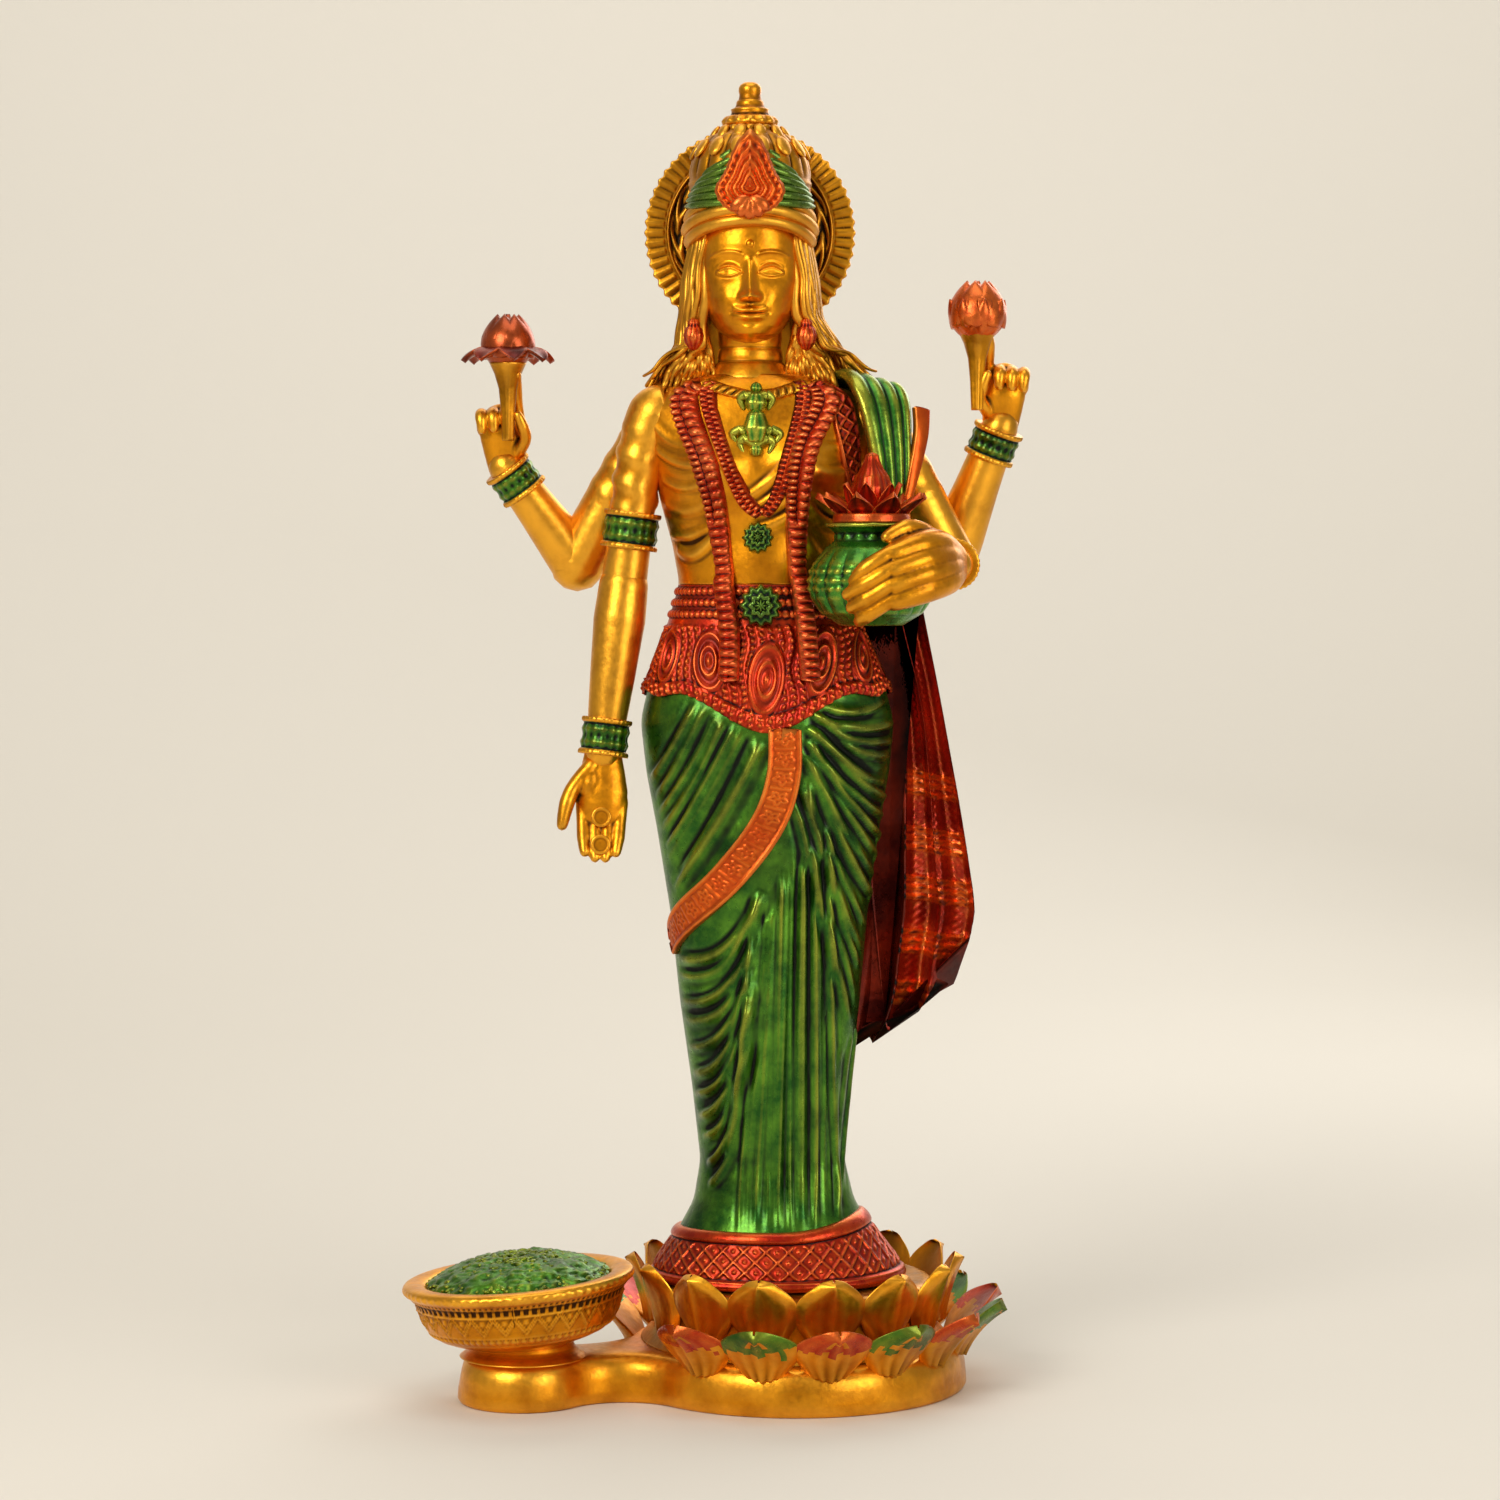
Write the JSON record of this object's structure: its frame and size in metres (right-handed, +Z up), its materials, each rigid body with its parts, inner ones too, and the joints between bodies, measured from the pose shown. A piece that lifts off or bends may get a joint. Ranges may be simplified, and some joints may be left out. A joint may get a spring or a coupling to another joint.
{
  "type": "hindu deity statue",
  "caption": "Standing four-armed goddess figurine in painted cast brass on a lotus plinth, with a halo, a pot and an offering bowl.",
  "frame": {"origin": "centre of the lotus plinth's underside", "axes": "+Z up through the figure's standing height; the figure faces -Y; +X is to her own left"},
  "size_m": [0.1433, 0.0996, 0.3011],
  "materials": {
    "gilt_brass": "gold-lacquered cast brass with dark patina in the hollows",
    "green_enamel": "translucent green lacquer over brass",
    "red_enamel": "translucent red lacquer over brass",
    "orange_enamel": "orange-red lacquer over brass",
    "dark_red_enamel": "dark red lacquer over brass",
    "steel_fastening": "plain steel, hidden"
  },
  "bodies": {
    "root": {"base_plate": "gilt_brass", "plinth": "gilt_brass", "lotus_seat": "gilt_brass", "lower_petals": "gilt_brass", "upper_petals": "gilt_brass", "bowl_foot": "gilt_brass", "offering_bowl": "gilt_brass", "grain_heap": "green_enamel", "skirt": "green_enamel", "hem_border": "red_enamel", "sari_sash": "orange_enamel", "girdle": "red_enamel", "side_shawl": "dark_red_enamel", "torso": "gilt_brass", "shoulder_drape": "green_enamel", "drape_border": "red_enamel", "collar": "gilt_brass", "pendant": "green_enamel", "long_garland": "red_enamel", "short_garland": "red_enamel", "rosettes": "green_enamel", "neck": "gilt_brass", "head": "gilt_brass", "hair": "gilt_brass", "crown": "gilt_brass", "crown_jewel": "red_enamel", "crown_wings": "green_enamel", "finial": "gilt_brass", "halo": "gilt_brass", "halo_rim": "gilt_brass", "earrings": "red_enamel", "right_upper_arm": "gilt_brass", "right_forearm": "gilt_brass", "right_hand": "gilt_brass", "right_armlet": "green_enamel", "right_bangle": "green_enamel", "coins": "gilt_brass", "right_back_upper_arm": "gilt_brass", "right_back_forearm": "gilt_brass", "right_back_hand": "gilt_brass", "right_back_bangle": "green_enamel", "right_flower": "red_enamel", "left_upper_arm": "gilt_brass", "left_forearm": "gilt_brass", "left_hand": "gilt_brass", "left_bangle": "green_enamel", "left_back_upper_arm": "gilt_brass", "left_back_forearm": "gilt_brass", "left_back_hand": "gilt_brass", "left_back_bangle": "green_enamel", "left_flower": "red_enamel", "water_pot": "green_enamel", "pot_leaves": "red_enamel", "coconut": "red_enamel", "figure_stud": "steel_fastening", "stud_nut": "steel_fastening", "stud_washer": "steel_fastening", "dowels": "steel_fastening", "arm_dowels": "steel_fastening", "halo_pin": "steel_fastening"}
  },
  "joints": []
}
